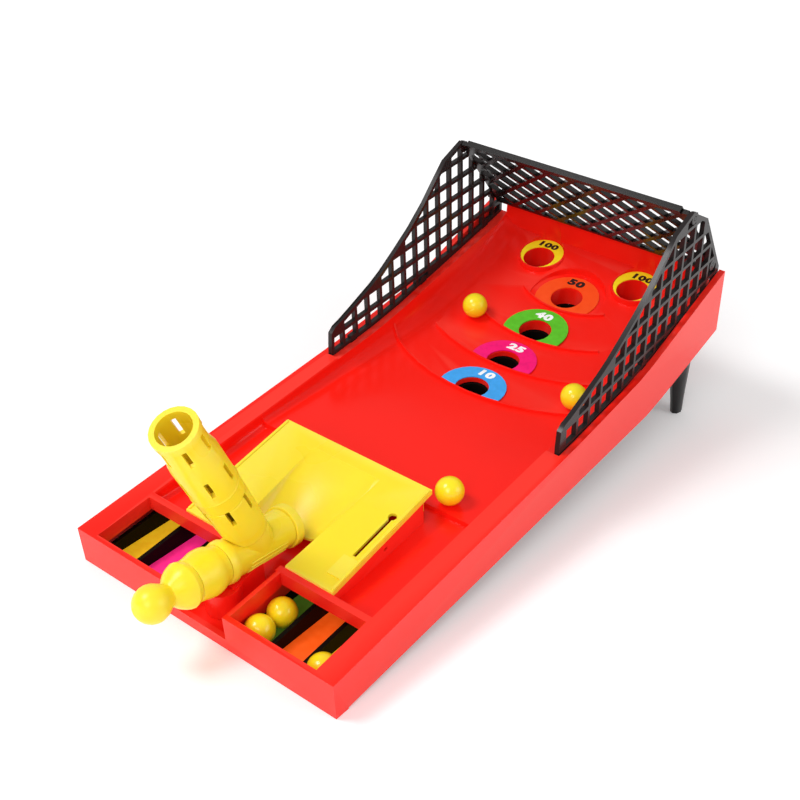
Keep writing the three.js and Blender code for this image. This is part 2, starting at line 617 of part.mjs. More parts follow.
function lowerTray() {
  const front = FRONT_WALL + CLEAR;
  const floorUnder = laneFloor.map(([y, z]) => [y, z - TRAY_FLOOR]);
  const low = bar([...floorUnder, [TRAY_LENGTH, -LANE_WALL_TOP], [0, -LANE_WALL_TOP]], -half, half);
  const above = bar([...laneFloor, [TRAY_LENGTH, 0], [0, 0]], -half, half);
  const floorOnly = bar([...floorUnder, ...[...laneFloor].reverse()], -half, half);
  const outer = joined(routes.map(([, points]) => corridor(points, laneWidth / 2 + LANE_WALL, front)));
  const inner = joined(routes.map(([, points]) => corridor(points, laneWidth / 2, front + LANE_WALL)));
  const core = block(-half + TRAY_CORE_SIDE, half - TRAY_CORE_SIDE, TRAY_CORE_START,
    TRAY_LENGTH - TRAY_CORE_BACK, -OVERRUN, 0);
  let tray = outer.intersect(low).subtract(inner.intersect(above)).add(core.intersect(floorOnly));
  tray = tray.subtract(block(-PIT_HALF - PIT_WALL - CLEAR, PIT_HALF + PIT_WALL + CLEAR, 0,
    PIT_END + PIT_WALL + CLEAR, -CHANNEL_DEPTH - CHANNEL_FLOOR - CLEAR, 0));
  for (const [x, y] of screwSpots) {
    tray = tray.subtract(post(x, y, SCREW_RADIUS + CLEAR, -OVERRUN, 0, SMALL));
    tray = tray.subtract(post(x, y, BOSS_RADIUS + CLEAR, along(laneFloor, y), 0, SMALL));
  }
  return tray;
}

function laneStrip(x) {
  const front = FRONT_WALL + CLEAR * 2 + LANE_WALL;
  const low = laneFloor.map(([y, z]) => [y, z + CLEAR]);
  const high = laneFloor.map(([y, z]) => [y, z + CLEAR + STRIP_THICKNESS]);
  const sheet = bar([...low, ...high.reverse()], x - laneWidth / 2 + CLEAR, x + laneWidth / 2 - CLEAR);
  return sheet.intersect(block(-half, half, front, STRIP_END, -OVERRUN, 0));
}

function scoreRing(place) {
  const front = place.ringY - place.ring;
  const back = place.ringY + place.ring;
  const lift = (y, extra) => [y, seatAt(place, y) + CLEAR + extra];
  const sheet = bar([lift(front, 0), lift(back, 0), lift(back, RING_THICKNESS), lift(front, RING_THICKNESS)],
    place.x - place.ring, place.x + place.ring);
  const disc = post(place.x, place.ringY, place.ring, -OVERRUN, OVERRUN, FINE);
  const ring = sheet.intersect(disc).subtract(post(place.x, place.y, HOLE_RADIUS + CLEAR, -OVERRUN, OVERRUN));
  return place.corner ? ring : ring.intersect(insideLip(place, LIP_WIDTH + CLEAR, -OVERRUN, OVERRUN));
}

// Nets: an outline plate less the windows of its lattice that lie inside its border
function cutWindows(plate, inset, windows) {
  let net = plate;
  for (const window of windows) {
    const open = window.intersect(inset);
    if (open.volume() > MIN_WINDOW_SHARE * window.volume()) {
      net = net.subtract(open);
    }
  }
  return net;
}

const pegHeights = PEG_SHARES.map((share) => share * BACK_NET_HEIGHT);

const backNetPlace = (height) => {
  const back = TRAY_LENGTH - BACK_NET_INSET;
  return [back - height * Math.sin(netLean), BACK_NET_Z + height * Math.cos(netLean)];
};

function sideways(radius, length, y, z, x) {
  const geometry = new THREE.CylinderGeometry(radius, radius, length, SMALL).rotateZ(Math.PI / 2);
  return solid(geometry.translate(x, y, z));
}

function sideNet(sign, shift) {
  const left = sign * netX - NET_THICKNESS / 2;
  const right = sign * netX + NET_THICKNESS / 2;
  const top = sized(NET_SHARES, TRAY_LENGTH, netTop);
  const foot = ledge.slice(1, -1).map(([y, z]) => [y, z + CLEAR]);
  const first = top[top.length - 1][0];
  const last = top[0][0];
  const outline = [[first, along(ledge, first) + CLEAR], ...foot, [last, along(ledge, last) + CLEAR], ...top];
  let plate = bar(outline, left, right);
  const centre = outline.map(([y, z]) => new THREE.Vector2(y, z));
  const insetLine = centre.map((point, i) => {
    const before = centre[(i + centre.length - 1) % centre.length];
    const after = centre[(i + 1) % centre.length];
    const a = point.clone().sub(before).normalize();
    const b = after.clone().sub(point).normalize();
    const normal = new THREE.Vector2(-a.y - b.y, a.x + b.x);
    normal.multiplyScalar(2 / normal.lengthSq() * NET_BORDER);
    return [point.x + normal.x, point.y + normal.y];
  });
  const inset = bar(insetLine, left - CLEAR, right + CLEAR);
  const windows = [];
  for (let y = ledge[0][0] + NET_FIRST_Y + shift; y < TRAY_LENGTH; y += NET_STEP_Y) {
    for (let z = NET_FIRST_Z + sign * NET_FIRST_Z; z < netTop; z += NET_STEP_Z) {
      windows.push(block(left - CLEAR, right + CLEAR, y, y + NET_STEP_Y - NET_BAR, z,
        z + NET_STEP_Z - NET_BAR));
    }
  }
  plate = cutWindows(plate, inset, windows);
  for (const y of tabs) {
    const low = along(ledge, y) - TAB_DEPTH;
    plate = plate.add(block(left, right, y - TAB_LENGTH / 2, y + TAB_LENGTH / 2, low,
      low + TAB_DEPTH + NET_BAR * 2));
  }
  for (const height of pegHeights) {
    const [y, z] = backNetPlace(height);
    plate = plate.add(sideways(PEG_BOSS, NET_THICKNESS, y, z, sign * netX));
    plate = plate.subtract(sideways(PEG_RADIUS + CLEAR, NET_THICKNESS * 2, y, z, sign * netX));
  }
  return plate;
}

// Back net: drawn upright as a sheet in (x, height), then leaned forward over the field
function backNet() {
  const inner = netX - NET_THICKNESS / 2 - CLEAR;
  const thick = NET_THICKNESS / 2;
  let plate = block(-inner, inner, -thick, thick, BACK_NET_START, BACK_NET_HEIGHT - RAIL_SIZE / 2);
  const inset = block(-inner + NET_BORDER, inner - NET_BORDER, -NET_THICKNESS, NET_THICKNESS,
    BACK_NET_START + NET_BORDER, BACK_NET_HEIGHT - RAIL_SIZE / 2 - NET_BORDER);
  const windows = [];
  const step = BACK_NET_STEP * Math.SQRT1_2;
  const rows = Math.ceil(BACK_NET_HEIGHT / step);
  const columns = Math.ceil(inner / step);
  for (let row = 0; row <= rows; row += 1) {
    for (let column = -columns; column <= columns; column += 1) {
      if ((row + column) % 2 === 0) {
        const side = BACK_NET_STEP - BACK_NET_BAR;
        const geometry = new THREE.BoxGeometry(side, NET_THICKNESS * 2, side).rotateY(Math.PI / 4);
        windows.push(solid(geometry.translate(column * step, 0, BACK_NET_FIRST + row * step)));
      }
    }
  }
  plate = cutWindows(plate, inset, windows);
  plate = plate.add(block(-half + RAIL_SIDE, half - RAIL_SIDE, -RAIL_SIZE / 2, RAIL_SIZE / 2,
    BACK_NET_HEIGHT - RAIL_SIZE, BACK_NET_HEIGHT));
  for (const height of pegHeights) {
    for (const sign of [-1, 1]) {
      const reach = netX + thick - inner + PEG_BOSS;
      plate = plate.add(sideways(PEG_RADIUS, reach, 0, height, sign * (inner - PEG_BOSS + reach / 2)));
    }
  }
  return plate.rotate([BACK_NET_LEAN, 0, 0]).translate([0, TRAY_LENGTH - BACK_NET_INSET, BACK_NET_Z]);
}

// Leg: a tapering rounded blade with a flat tip and a tenon pushed up into the hollow rim
function leg(sign) {
  const under = (y) => along(bottomEdge, y) - CLEAR;
  const top = under(legTopY);
  const rings = [];
  const levels = 5;
  for (let i = 0; i <= levels; i += 1) {
    const share = i / levels;
    const bulge = Math.sqrt(1 - share * share * 0.8);
    const length = LEG_TIP_LENGTH + (LEG_TOP_LENGTH - LEG_TIP_LENGTH) * (1 - share) * bulge;
    const width = LEG_TIP_WIDTH + (LEG_TOP_WIDTH - LEG_TIP_WIDTH) * (1 - share) * bulge;
    const y = legTopY + (legTipY - legTopY) * share;
    const z = top + (-LEG_TIP_DROP - top) * share;
    const ring = [];
    for (let j = 0; j < SMALL; j += 1) {
      const turn = -j / SMALL * Math.PI * 2;
      ring.push([sign * legX + width / 2 * Math.cos(turn), y + length / 2 * Math.sin(turn), z]);
    }
    rings.push(ring);
  }
  rings[0].forEach((point) => {
    point[2] = under(point[1]);
  });
  rings[levels].forEach((point) => {
    point[2] = groundAt(point[1]);
  });
  const across = sign < 0 ? tenonX.map((x) => -x).reverse() : tenonX;
  const [front, back] = tenonY;
  const tenon = bar([[front, under(front) - CLEAR], [back, under(back) - CLEAR],
    [back, -TENON_TOP - CLEAR], [front, -TENON_TOP - CLEAR]], ...across);
  return solid(loft(rings)).add(tenon);
}

// Scoop in the ramp plate: half ellipses across it, which fade out towards the rear
function scoop(grow) {
  const length = plateEnd - SCOOP_BACK - WELL_BACK;
  const rings = SCOOP_SHARES.map(([at, depth]) => {
    const y = WELL_BACK + at * length;
    const across = SCOOP_HALF + SCOOP_SPREAD * at + grow;
    const down = SCOOP_DEPTH * depth + grow;
    const ring = [[-across, y, REAR_RISE], [across, y, REAR_RISE]];
    const steps = 12;
    for (let i = 0; i <= steps; i += 1) {
      const turn = i / steps * Math.PI;
      ring.push([across * Math.cos(turn), y, plateTop(y) - down * Math.sin(turn)]);
    }
    return ring;
  });
  const front = rings[0].map(([x, , z]) => [x, WELL_BACK - CLEAR - grow, z]);
  return solid(loft([front, ...rings]));
}

// Ramp plate: wedge top, narrow flanges, scoop round and ahead of the nose, keyhole slot and raised pad
function rampPlate() {
  const start = WELL_BACK;
  const top = [[start, plateTop(start)], [plateEnd, plateTop(plateEnd)]];
  const lowered = (drop) => top.map(([y, z]) => [y, z - drop]);
  let plate = bar([...lowered(PLATE_THICKNESS), ...[...top].reverse()], -plateHalf, plateHalf);
  const side = [...lowered(FLANGE_DEPTH), ...[...top].reverse()];
  plate = plate.add(bar(side, -plateHalf, -plateHalf + PLATE_THICKNESS));
  plate = plate.add(bar(side, plateHalf - PLATE_THICKNESS, plateHalf));
  plate = plate.add(block(-plateHalf + REAR_FLANGE_INSET, plateHalf - REAR_FLANGE_INSET,
    plateEnd - PLATE_THICKNESS, plateEnd, -FLOOR_DEPTH + CLEAR, plateTop(plateEnd) - PLATE_THICKNESS / 2));
  const under = bar([[start, -OVERRUN], [plateEnd, -OVERRUN], ...[...top].reverse()], -half, half);
  plate = plate.add(scoop(SCOOP_WALL).intersect(under)).subtract(scoop(0));
  plate = plate.subtract(plan([[-NOSE_GAP_FRONT, start - CLEAR], [NOSE_GAP_FRONT, start - CLEAR],
    [NOSE_GAP_REAR, NOSE_GAP_END], [-NOSE_GAP_REAR, NOSE_GAP_END]], -OVERRUN, OVERRUN));
  const padStart = SLOT_START - PAD_LENGTH - SLOT_WIDTH;
  const padEnd = padStart + PAD_LENGTH;
  const pad = bar([[padStart, plateTop(padStart) - PLATE_THICKNESS / 2],
    [padEnd, plateTop(padEnd) - PLATE_THICKNESS / 2], [padEnd, plateTop(padEnd) + PAD_RISE],
    [padStart, plateTop(padStart) + PAD_RISE]], slotX - PAD_WIDTH / 2, slotX + PAD_WIDTH / 2);
  const slot = block(slotX - SLOT_WIDTH / 2, slotX + SLOT_WIDTH / 2, SLOT_START, SLOT_START + SLOT_LENGTH,
    0, OVERRUN);
  const head = post(slotX, SLOT_START + SLOT_LENGTH, SLOT_HEAD, 0, OVERRUN, SMALL);
  return plate.add(pad).subtract(slot).subtract(head);
}

// Launcher pieces, turned about the barrel axis
const CAP_START = -NECK_LENGTH - CAP_LENGTH - NECK_LENGTH;
const capProfile = CAP_SHARES.map(([at, r]) => [CAP_START + at * CAP_LENGTH, r * CAP_RADIUS]);
const barrelStart = NOSE_AT - BARREL_LENGTH - NECK_LENGTH;
const capEnd = CAP_START + CAP_LENGTH;
const ringStart = NOSE_AT - NOSE_RING_LENGTH;
const barrelProfile = [[barrelStart, NECK_RADIUS], [capEnd + CLEAR, NECK_RADIUS],
  ...BARREL_SHARES.slice(0, 1).map(([, r]) => [capEnd + CLEAR, r * BARREL_RADIUS]),
  ...BARREL_SHARES.slice(1).map(([at, r]) => [
    barrelStart + at * (BARREL_LENGTH + NECK_LENGTH), r * BARREL_RADIUS]),
  [ringStart, BARREL_RADIUS], [ringStart, NOSE_SEAT], [NOSE_AT, NOSE_SEAT]];
const branchProfile = [[0, BRANCH_FOOT_RADIUS], [BRANCH_FOOT_HEIGHT, BRANCH_RADIUS],
  [BRANCH_LENGTH, BRANCH_RADIUS]];
const magazineProfile = [[BRANCH_LENGTH + CLEAR, BRANCH_RADIUS],
  ...MAGAZINE_SHARES.map(([at, r]) => [
    BRANCH_LENGTH + CLEAR + at * (MAGAZINE_TOP - BRANCH_LENGTH - CLEAR), r * MAGAZINE_RADIUS])];
const rodHole = ROD_RADIUS + CLEAR;

const straight = (from, to, radius, sides) => turned([[from, radius], [to, radius]], sides);

function launcherBarrel() {
  let barrel = onLauncher(turned(barrelProfile)).add(onMagazine(turned(branchProfile)));
  barrel = barrel.subtract(onLauncher(straight(barrelStart - OVERRUN, NOSE_AT + OVERRUN, BORE_RADIUS)));
  barrel = barrel.subtract(onMagazine(straight(0, OVERRUN * 2, MAGAZINE_BORE)));
  return barrel.subtract(post(0, CRADLE_SCREW_Y, SCREW_RADIUS + CLEAR, -OVERRUN,
    cradleScrewTop + CLEAR, SMALL));
}

function launcherEndCap() {
  let cap = onLauncher(turned(capProfile));
  cap = cap.subtract(onLauncher(straight(CAP_START + CAP_WALL, OVERRUN, BORE_RADIUS)));
  cap = cap.subtract(onLauncher(straight(barrelStart - CLEAR, OVERRUN, NECK_RADIUS + CLEAR)));
  return cap.subtract(onLauncher(straight(CAP_START - OVERRUN, OVERRUN, rodHole)));
}

function noseRing() {
  const ring = straight(ringStart + CLEAR, NOSE_AT + CLEAR, NOSE_RING_RADIUS);
  return onLauncher(ring).subtract(onLauncher(straight(0, OVERRUN * 2, NOSE_SEAT + CLEAR)));
}

function magazineTube() {
  let tube = onMagazine(turned(magazineProfile));
  tube = tube.subtract(onMagazine(straight(0, MAGAZINE_TOP + OVERRUN, MAGAZINE_BORE)));
  tube = tube.subtract(onLauncher(turned(grown(barrelProfile))));
  for (const share of VENT_SHARES) {
    for (let i = 0; i < VENT_COLUMNS / 2; i += 1) {
      const geometry = new THREE.BoxGeometry(MAGAZINE_RADIUS * 3, VENT_LENGTH, VENT_WIDTH);
      geometry.rotateY(THREE.MathUtils.degToRad(VENT_TURN) + i / VENT_COLUMNS * Math.PI * 2);
      tube = tube.subtract(onMagazine(geometry.translate(0, share * MAGAZINE_TOP, 0)));
    }
  }
  return tube;
}

function plungerHandle() {
  const front = CAP_START - CLEAR;
  const back = front - HANDLE_LENGTH;
  const knob = [];
  const steps = 9;
  for (let i = 0; i < steps; i += 1) {
    const turn = i / steps * Math.PI * 0.8;
    knob.push([back + KNOB_RADIUS - KNOB_RADIUS * Math.cos(turn), KNOB_RADIUS * Math.sin(turn)]);
  }
  const bell = BELL_SHARES.map(([at, r]) => [back + at * HANDLE_LENGTH, r * BELL_RADIUS]);
  const rod = [[front, ROD_RADIUS], [front + ROD_LENGTH, ROD_RADIUS]];
  return onLauncher(turned([...knob.slice(1), ...bell, ...rod]));
}

function plungerPiston() {
  const piston = straight(0, PISTON_LENGTH, BORE_RADIUS - PISTON_GAP);
  return onLauncher(piston).subtract(onLauncher(straight(-OVERRUN, SOCKET_DEPTH, rodHole)));
}

// Spring round the rod, between the end wall and the piston, as one coiled wire
function plungerSpring() {
  const start = CAP_START + CAP_WALL + CLEAR + SPRING_WIRE;
  const end = -CLEAR - SPRING_WIRE;
  const steps = 8;
  const sides = 5;
  const rise = (end - start) / (SPRING_TURNS * steps);
  const centres = [];
  for (let i = 0; i <= SPRING_TURNS * steps; i += 1) {
    const turn = i / steps * Math.PI * 2;
    centres.push(new THREE.Vector3(
      SPRING_RADIUS * Math.cos(turn), start + rise * i, SPRING_RADIUS * Math.sin(turn)));
  }
  const rings = centres.map((centre, i) => {
    const turn = i / steps * Math.PI * 2;
    const out = new THREE.Vector3(Math.cos(turn), 0, Math.sin(turn));
    const ring = [];
    for (let j = 0; j < sides; j += 1) {
      const around = j / sides * Math.PI * 2;
      ring.push(centre.clone().addScaledVector(out, SPRING_WIRE * Math.cos(around))
        .add(new THREE.Vector3(0, SPRING_WIRE * Math.sin(around), 0)).toArray());
    }
    return ring;
  });
  let least = Infinity;
  for (let i = 0; i < centres.length; i += 1) {
    for (let j = i + steps / 2; j < centres.length; j += 1) {
      least = Math.min(least, centres[i].distanceTo(centres[j]) - SPRING_WIRE * 2);
    }
  }
  console.log(`least gap between the coils of the plunger spring: ${least.toFixed(2)} mm`);
  return onLauncher(loft(rings));
}

// Cradle: a turret and a saddle block that carry the barrel on the channel floor
const cradleLow = -CHANNEL_DEPTH + CLEAR;
// the screw under the barrel ends halfway through the barrel's wall
const cradleScrewTop = AXIS_Z - (CRADLE_SCREW_Y - AXIS_Y) * Math.tan(axisPitch)
  - (BARREL_RADIUS + BORE_RADIUS) / 2 / Math.cos(axisPitch);
const grown = (profile) => {
  const [first, last] = [profile[0], profile[profile.length - 1]];
  return [[first[0] - CLEAR, first[1] + CLEAR], ...profile.map(([at, r]) => [at, r + CLEAR]),
    [last[0] + CLEAR, last[1] + CLEAR]];
};

function launcherCradle() {
  const turret = post(0, PIVOT_Y, TURRET_RADIUS, cradleLow, -TURRET_TOP, ROUND);
  const saddle = block(-CRADLE_HALF, CRADLE_HALF, PIVOT_Y, CRADLE_END, cradleLow, 0);
  const stub = post(0, PIVOT_Y, STUB_RADIUS, -CHANNEL_DEPTH - CHANNEL_FLOOR - CLEAR, 0, ROUND);
  let cradle = turret.add(saddle).add(stub);
  cradle = cradle.subtract(onLauncher(turned(grown(capProfile))));
  cradle = cradle.subtract(onLauncher(turned(grown(barrelProfile))));
  cradle = cradle.subtract(post(0, PIVOT_Y, SCREW_RADIUS + CLEAR, -OVERRUN,
    pivotScrewLow + PIVOT_SCREW_LENGTH + CLEAR, SMALL));
  cradle = cradle.subtract(post(0, CRADLE_SCREW_Y, SCREW_RADIUS + CLEAR, -OVERRUN, 0, SMALL));
  return cradle.subtract(post(0, CRADLE_SCREW_Y, SCREW_HEAD + CLEAR, -OVERRUN,
    cradleLow + CLEAR + SCREW_HEAD_HEIGHT * 2, SMALL));
}

const washerTop = -CHANNEL_DEPTH - CHANNEL_FLOOR - CLEAR * 2;
const pivotScrewLow = washerTop - WASHER_THICKNESS - CLEAR - SCREW_HEAD_HEIGHT;

function pivotWasher() {
  const disc = post(0, PIVOT_Y, WASHER_RADIUS, washerTop - WASHER_THICKNESS, washerTop, ROUND);
  return disc.subtract(post(0, PIVOT_Y, SCREW_RADIUS + CLEAR, -OVERRUN, 0, SMALL));
}

// A screw that points up, from its head's lower face to its tip
function screw(x, y, low, length) {
  const head = post(x, y, SCREW_HEAD, low, low + SCREW_HEAD_HEIGHT, SMALL);
  return head.add(post(x, y, SCREW_RADIUS, low, low + length, SMALL));
}

const ball = (x, y, z) => solid(new THREE.SphereGeometry(BALL_RADIUS, 12, 9).translate(x, y, z));

// A ball resting on the field at one place in plan
function fieldBall(x, y) {
  const step = FIELD_DEPTH / 10;
  const slope = (along(field, y + step) - along(field, y - step)) / (step * 2);
  const lift = (BALL_RADIUS + CLEAR) * Math.hypot(1, slope);
  return ball(x, y, along(field, y) + lift);
}

// A ball resting on the strip of its lane, counted from the front
function laneBall(x, place) {
  const y = FRONT_WALL + LANE_WALL + CLEAR * 2 + BALL_RADIUS + place * (BALL_RADIUS * 2 + CLEAR);
  const slope = (LANE_FLOOR_DEEP - LANE_FLOOR_FRONT) / LANE_SLOPE_END;
  const lift = (BALL_RADIUS + CLEAR) * Math.hypot(1, slope) + CLEAR + STRIP_THICKNESS;
  return ball(x, y, along(laneFloor, y) + lift);
}

// Finishes: colour, roughness and metalness
const looks = {
  red: [0xf2281c, 0.35, 0],
  black: [0x17120f, 0.45, 0],
  yellow: [0xffe24a, 0.35, 0],
  ballYellow: [0xf5c41e, 0.2, 0.2],
  blue: [0x3ca0eb, 0.4, 0],
  pink: [0xf00078, 0.4, 0],
  green: [0x5abe32, 0.4, 0],
  orange: [0xff5a14, 0.4, 0],
  ringYellow: [0xffe11e, 0.4, 0],
  steel: [0xb8b8bc, 0.3, 0.9],
};

const tray = new THREE.Group();
tray.rotation.x = tilt;

function add(name, body, look) {
  const { vertProperties, triVerts } = body.getMesh();
  const geometry = new THREE.BufferGeometry();
  geometry.setAttribute('position', new THREE.BufferAttribute(new Float32Array(vertProperties), 3));
  geometry.setIndex(new THREE.BufferAttribute(new Uint32Array(triVerts), 1));
  geometry.computeVertexNormals();
  const [color, roughness, metalness] = looks[look];
  const mesh = new THREE.Mesh(geometry, new THREE.MeshStandardMaterial({ color, roughness, metalness }));
  mesh.name = name;
  tray.add(mesh);
}

add('deck_shell', deckShell(), 'red');
add('lower_tray', lowerTray(), 'black');
const stripLooks = ['ringYellow', 'pink', 'blue', 'green', 'orange', 'ringYellow'];
routes.forEach(([name, points], i) => add(`lane_strip_${name}`, laneStrip(points[3][0]), stripLooks[i]));
const ringLooks = ['blue', 'pink', 'green', 'orange', 'ringYellow', 'ringYellow'];
[...terraces, ...corners].forEach((place, i) => {
  add(`score_ring_${place.name.replace(' ', '_')}`, scoreRing(place), ringLooks[i]);
});
add('net_left', sideNet(-1, 0), 'black');
add('net_right', sideNet(1, RIGHT_NET_SHIFT), 'black');
add('net_back', backNet(), 'black');
add('leg_left', leg(-1), 'black');
add('leg_right', leg(1), 'black');
add('ramp_plate', rampPlate(), 'yellow');
add('launcher_cradle', launcherCradle(), 'red');
add('launcher_barrel', launcherBarrel(), 'yellow');
add('launcher_end_cap', launcherEndCap(), 'yellow');
add('nose_ring', noseRing(), 'yellow');
add('magazine_tube', magazineTube(), 'yellow');
add('plunger_handle', plungerHandle(), 'yellow');
add('plunger_piston', plungerPiston(), 'yellow');
add('plunger_spring', plungerSpring(), 'steel');
add('pivot_washer', pivotWasher(), 'steel');
add('pivot_screw', screw(0, PIVOT_Y, pivotScrewLow, PIVOT_SCREW_LENGTH), 'steel');
const cradleScrewLow = cradleLow + CLEAR;
add('cradle_screw', screw(0, CRADLE_SCREW_Y, cradleScrewLow, cradleScrewTop - cradleScrewLow), 'steel');
screwSpots.forEach(([x, y], i) => {
  const low = along(laneFloor, y) - TRAY_FLOOR - CLEAR - SCREW_HEAD_HEIGHT;
  add(`tray_screw_${i + 1}`, screw(x, y, low, TRAY_SCREW_LENGTH), 'steel');
});
const lipAt = (place, x) => place.lipY + place.lipRadius - Math.sqrt(place.lipRadius ** 2 - x * x);
const fieldBallX = FIELD_BALL_SHARES[0] * basinHalf;
const netBallX = NET_BALL_SHARE * basinHalf;
const middleBallX = MIDDLE_BALL_SHARE * basinHalf;
add('ball_1', fieldBall(fieldBallX, FIELD_BALL_SHARES[1] * TRAY_LENGTH), 'ballYellow');
add('ball_2', fieldBall(netBallX, lipAt(ten, netBallX) + NET_BALL_GAP), 'ballYellow');
add('ball_3', fieldBall(middleBallX, lipAt(forty, middleBallX) - MIDDLE_BALL_GAP), 'ballYellow');
add('ball_4', laneBall(innerLane, 0), 'ballYellow');
add('ball_5', laneBall(innerLane, 1), 'ballYellow');
add('ball_6', laneBall(outerLane, 0), 'ballYellow');

// The part stands on the ground with its origin at the middle of its base
const part = new THREE.Group();
part.add(tray);
part.updateMatrixWorld(true);
const bounds = new THREE.Box3().setFromObject(part, true);
const middle = bounds.getCenter(new THREE.Vector3());
tray.position.set(-middle.x, -middle.y, -bounds.min.z);
part.updateMatrixWorld(true);

export default part;
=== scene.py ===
import math
import bpy
from mathutils import Matrix, Vector


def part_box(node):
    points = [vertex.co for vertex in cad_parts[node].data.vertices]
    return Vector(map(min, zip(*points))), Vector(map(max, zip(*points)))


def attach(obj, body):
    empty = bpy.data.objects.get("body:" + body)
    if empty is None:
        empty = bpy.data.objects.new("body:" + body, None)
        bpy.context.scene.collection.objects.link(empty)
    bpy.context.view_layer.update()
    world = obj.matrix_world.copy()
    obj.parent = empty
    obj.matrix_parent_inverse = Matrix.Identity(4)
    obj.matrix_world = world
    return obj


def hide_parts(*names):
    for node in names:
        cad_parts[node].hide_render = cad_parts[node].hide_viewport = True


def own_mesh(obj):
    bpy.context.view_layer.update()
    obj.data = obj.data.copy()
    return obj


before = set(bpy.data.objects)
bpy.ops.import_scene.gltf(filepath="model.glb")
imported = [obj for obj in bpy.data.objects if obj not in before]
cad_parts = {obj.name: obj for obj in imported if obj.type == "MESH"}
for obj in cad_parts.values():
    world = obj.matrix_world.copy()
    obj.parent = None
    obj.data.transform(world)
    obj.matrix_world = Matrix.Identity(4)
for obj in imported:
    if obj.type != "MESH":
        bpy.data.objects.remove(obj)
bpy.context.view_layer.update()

# Red tray
# The body of the game is one red injection-moulded shell with a hollow underside. Its moulded
# edges are rounded, its gloss is broken by faint flow marks, and its sharp edges are painted a
# lighter red, a painted highlight.
TRAY_TILT = 0.1313206
TRAY_ORIGIN = (0, -0.1764532, 0.0233968)
FLOW_SCALE = 16
PIT_SCALE = 900
EDGE_HIGHLIGHT_RANGE = (0.53, 0.68)
FLOW_SHADE = (0.93, 1.05)
FLOW_ROUGHNESS = (-0.05, 0.07)
MARK_DEPTH = 0.5
PIT_STRENGTH = 0.12
PIT_HEIGHT = 0.00006
GLOW_RADIUS = (0.009, 0.0055, 0.0006)
COAT_ROUGHNESS = 0.08
MERGE_DISTANCE = 0.000001
FLAT_ANGLE = 0.6
SMOOTH_MARGIN = 3
DECK_EDGE = 0.0004
tray = Matrix.Translation(TRAY_ORIGIN) @ Matrix.Rotation(TRAY_TILT, 4, "X")


def moulding_marks():
    """Flow marks and fine pits of moulded plastic over a given colour, with a painted highlight that
    lightens convex edges.
    """
    group = bpy.data.node_groups.new("moulding_marks", "ShaderNodeTree")
    face = group.interface
    face.new_socket("Colour", in_out="INPUT", socket_type="NodeSocketColor")
    face.new_socket("Edge Highlight Colour", in_out="INPUT", socket_type="NodeSocketColor")
    face.new_socket("Roughness", in_out="INPUT", socket_type="NodeSocketFloat")
    face.new_socket("Mark Depth", in_out="INPUT", socket_type="NodeSocketFloat")
    face.new_socket("Colour", in_out="OUTPUT", socket_type="NodeSocketColor")
    face.new_socket("Roughness", in_out="OUTPUT", socket_type="NodeSocketFloat")
    face.new_socket("Height", in_out="OUTPUT", socket_type="NodeSocketFloat")
    nodes, links = group.nodes, group.links
    entry = nodes.new("NodeGroupInput")
    leave = nodes.new("NodeGroupOutput")
    place = nodes.new("ShaderNodeTexCoord")

    flow = nodes.new("ShaderNodeTexNoise")
    flow.inputs["Scale"].default_value = FLOW_SCALE
    flow.inputs["Detail"].default_value = 3
    pits = nodes.new("ShaderNodeTexNoise")
    pits.inputs["Scale"].default_value = PIT_SCALE
    pits.inputs["Detail"].default_value = 4
    geometry = nodes.new("ShaderNodeNewGeometry")
    # Convex edges, found by pointiness, take the lighter edge colour: a painted highlight.
    edge = nodes.new("ShaderNodeMapRange")
    edge.inputs["From Min"].default_value, edge.inputs["From Max"].default_value = EDGE_HIGHLIGHT_RANGE
    links.new(place.outputs["Object"], flow.inputs["Vector"])
    links.new(place.outputs["Object"], pits.inputs["Vector"])
    links.new(geometry.outputs["Pointiness"], edge.inputs["Value"])

    shade = nodes.new("ShaderNodeMapRange")
    shade.inputs["To Min"].default_value, shade.inputs["To Max"].default_value = FLOW_SHADE
    links.new(flow.outputs["Fac"], shade.inputs["Value"])
    tinted = nodes.new("ShaderNodeVectorMath")
    tinted.operation = "SCALE"
    links.new(entry.outputs["Colour"], tinted.inputs[0])
    links.new(shade.outputs["Result"], tinted.inputs["Scale"])
    # Mix in the lighter edge colour on convex edges, a painted highlight.
    highlight_mix = nodes.new("ShaderNodeMix")
    highlight_mix.data_type = "RGBA"
    links.new(edge.outputs["Result"], highlight_mix.inputs["Factor"])
    links.new(tinted.outputs["Vector"], highlight_mix.inputs["A"])
    links.new(entry.outputs["Edge Highlight Colour"], highlight_mix.inputs["B"])
    links.new(highlight_mix.outputs["Result"], leave.inputs["Colour"])

    spread = nodes.new("ShaderNodeMapRange")
    spread.inputs["To Min"].default_value, spread.inputs["To Max"].default_value = FLOW_ROUGHNESS
    links.new(flow.outputs["Fac"], spread.inputs["Value"])
    rough = nodes.new("ShaderNodeMath")
    rough.operation = "ADD"
    links.new(entry.outputs["Roughness"], rough.inputs[0])
    links.new(spread.outputs["Result"], rough.inputs[1])
    links.new(rough.outputs["Value"], leave.inputs["Roughness"])

    depth = nodes.new("ShaderNodeMath")
    depth.operation = "MULTIPLY"
    links.new(pits.outputs["Fac"], depth.inputs[0])
    links.new(entry.outputs["Mark Depth"], depth.inputs[1])
    links.new(depth.outputs["Value"], leave.inputs["Height"])
    return group


marks = moulding_marks()


